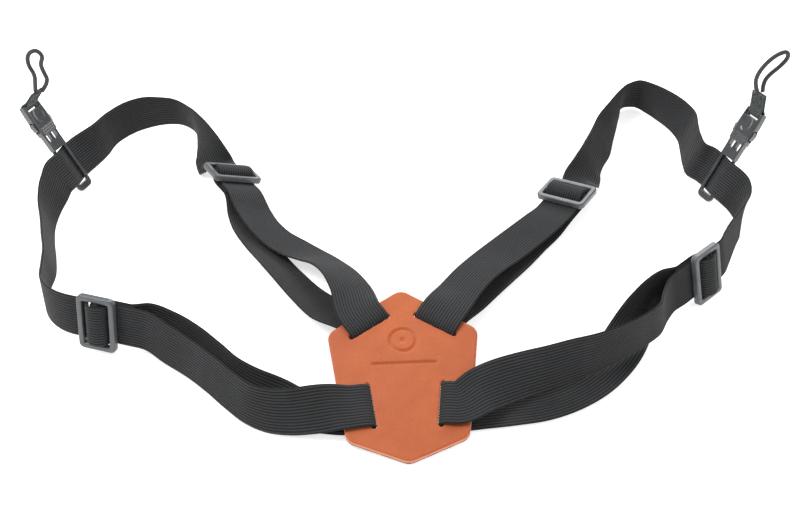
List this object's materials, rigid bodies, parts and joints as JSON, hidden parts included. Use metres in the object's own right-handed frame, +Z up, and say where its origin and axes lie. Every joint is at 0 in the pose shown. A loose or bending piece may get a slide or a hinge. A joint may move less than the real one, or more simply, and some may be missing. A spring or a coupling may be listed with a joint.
{
  "type": "binocular harness",
  "caption": "Binocular harness with a six-sided leather yoke, two elastic shoulder loops, strap adjusters, and sliding side-release clips with lanyard loops.",
  "frame": {"origin": "middle of the footprint of the harness as it lies, at table height, lanyards left out", "axes": "+Z up from the table, +Y from the yoke towards the shoulder loops, +X from the loop on the left to the loop on the right"},
  "size_m": [0.4719, 0.3058, 0.1016],
  "materials": {
    "leather": "matt",
    "backing": "matt",
    "elastic": "matt",
    "adjuster_plastic": "satin",
    "clip_plastic": "gloss",
    "webbing": "matt",
    "thread": "matt",
    "cord": "matt"
  },
  "bodies": {
    "harness": {"yoke_leather": "leather", "yoke_backing": "backing", "left_upper_anchor": "elastic", "left_lower_anchor": "elastic", "right_upper_anchor": "elastic", "right_lower_anchor": "elastic", "left_upper_loop": "elastic", "left_lower_loop": "elastic", "right_upper_loop": "elastic", "right_lower_loop": "elastic"},
    "left_upper_adjuster_set": {"left_upper_adjuster": "adjuster_plastic", "left_upper_weave": "elastic", "left_upper_sewn_end": "elastic", "left_upper_bartack": "thread"},
    "left_lower_adjuster_set": {"left_lower_adjuster": "adjuster_plastic", "left_lower_weave": "elastic", "left_lower_sewn_end": "elastic", "left_lower_bartack": "thread"},
    "right_upper_adjuster_set": {"right_upper_adjuster": "adjuster_plastic", "right_upper_weave": "elastic", "right_upper_sewn_end": "elastic", "right_upper_bartack": "thread"},
    "right_lower_adjuster_set": {"right_lower_adjuster": "adjuster_plastic", "right_lower_weave": "elastic", "right_lower_sewn_end": "elastic", "right_lower_bartack": "thread"},
    "left_clip": {"left_clip_slider": "clip_plastic", "left_clip_weave": "elastic", "left_prong_front": "clip_plastic", "left_prong_back": "clip_plastic"},
    "left_release": {"left_clip_socket": "clip_plastic"},
    "left_tab": {"left_tab": "webbing", "left_tab_stitching": "thread", "left_lanyard": "cord"},
    "right_clip": {"right_clip_slider": "clip_plastic", "right_clip_weave": "elastic", "right_prong_front": "clip_plastic", "right_prong_back": "clip_plastic"},
    "right_release": {"right_clip_socket": "clip_plastic"},
    "right_tab": {"right_tab": "webbing", "right_tab_stitching": "thread", "right_lanyard": "cord"}
  },
  "joints": [
    {"name": "left_upper_adjust", "type": "slide", "parent": "harness", "child": "left_upper_adjuster_set", "axis": [0.5321, -0.8352, 0.1392], "range_m": [-0.008, 0.008], "deforming": ["left_upper_anchor", "left_upper_loop"]},
    {"name": "left_lower_adjust", "type": "slide", "parent": "harness", "child": "left_lower_adjuster_set", "axis": [0.9659, -0.2588, 0], "range_m": [-0.008, 0.008], "deforming": ["left_lower_anchor", "left_lower_loop"]},
    {"name": "right_upper_adjust", "type": "slide", "parent": "harness", "child": "right_upper_adjuster_set", "axis": [-0.5736, -0.8191, 0], "range_m": [-0.008, 0.008], "deforming": ["right_upper_anchor", "right_upper_loop"]},
    {"name": "right_lower_adjust", "type": "slide", "parent": "harness", "child": "right_lower_adjuster_set", "axis": [-0.766, -0.6428, 0], "range_m": [-0.008, 0.008], "deforming": ["right_lower_anchor", "right_lower_loop"]},
    {"name": "left_clip_slide", "type": "slide", "parent": "harness", "child": "left_clip", "axis": [-0.5, -0.866, 0], "range_m": [-0.008, 0.008], "deforming": ["left_upper_loop", "left_lower_loop"]},
    {"name": "left_clip_release", "type": "slide", "parent": "left_clip", "child": "left_release", "axis": [-0.4328, 0.2499, 0.8662], "range_m": [0, 0.026], "deforming": ["left_prong_front", "left_prong_back"]},
    {"name": "left_tab_swing", "type": "hinge", "parent": "left_release", "child": "left_tab", "pos_m": [-0.22862, 0.07607, 0.056], "axis": [0.3331, 0.9371, -0.1039], "range_deg": [-45, 45]},
    {"name": "right_clip_slide", "type": "slide", "parent": "harness", "child": "right_clip", "axis": [0.5736, -0.8191, 0], "range_m": [-0.008, 0.008], "deforming": ["right_upper_loop", "right_lower_loop"]},
    {"name": "right_clip_release", "type": "slide", "parent": "right_clip", "child": "right_release", "axis": [0.3842, 0.269, 0.8832], "range_m": [0, 0.026], "deforming": ["right_prong_front", "right_prong_back"]},
    {"name": "right_tab_swing", "type": "hinge", "parent": "right_release", "child": "right_tab", "pos_m": [0.22823, 0.06643, 0.05696], "axis": [0.4106, -0.9066, 0.0975], "range_deg": [-45, 45]}
  ]
}
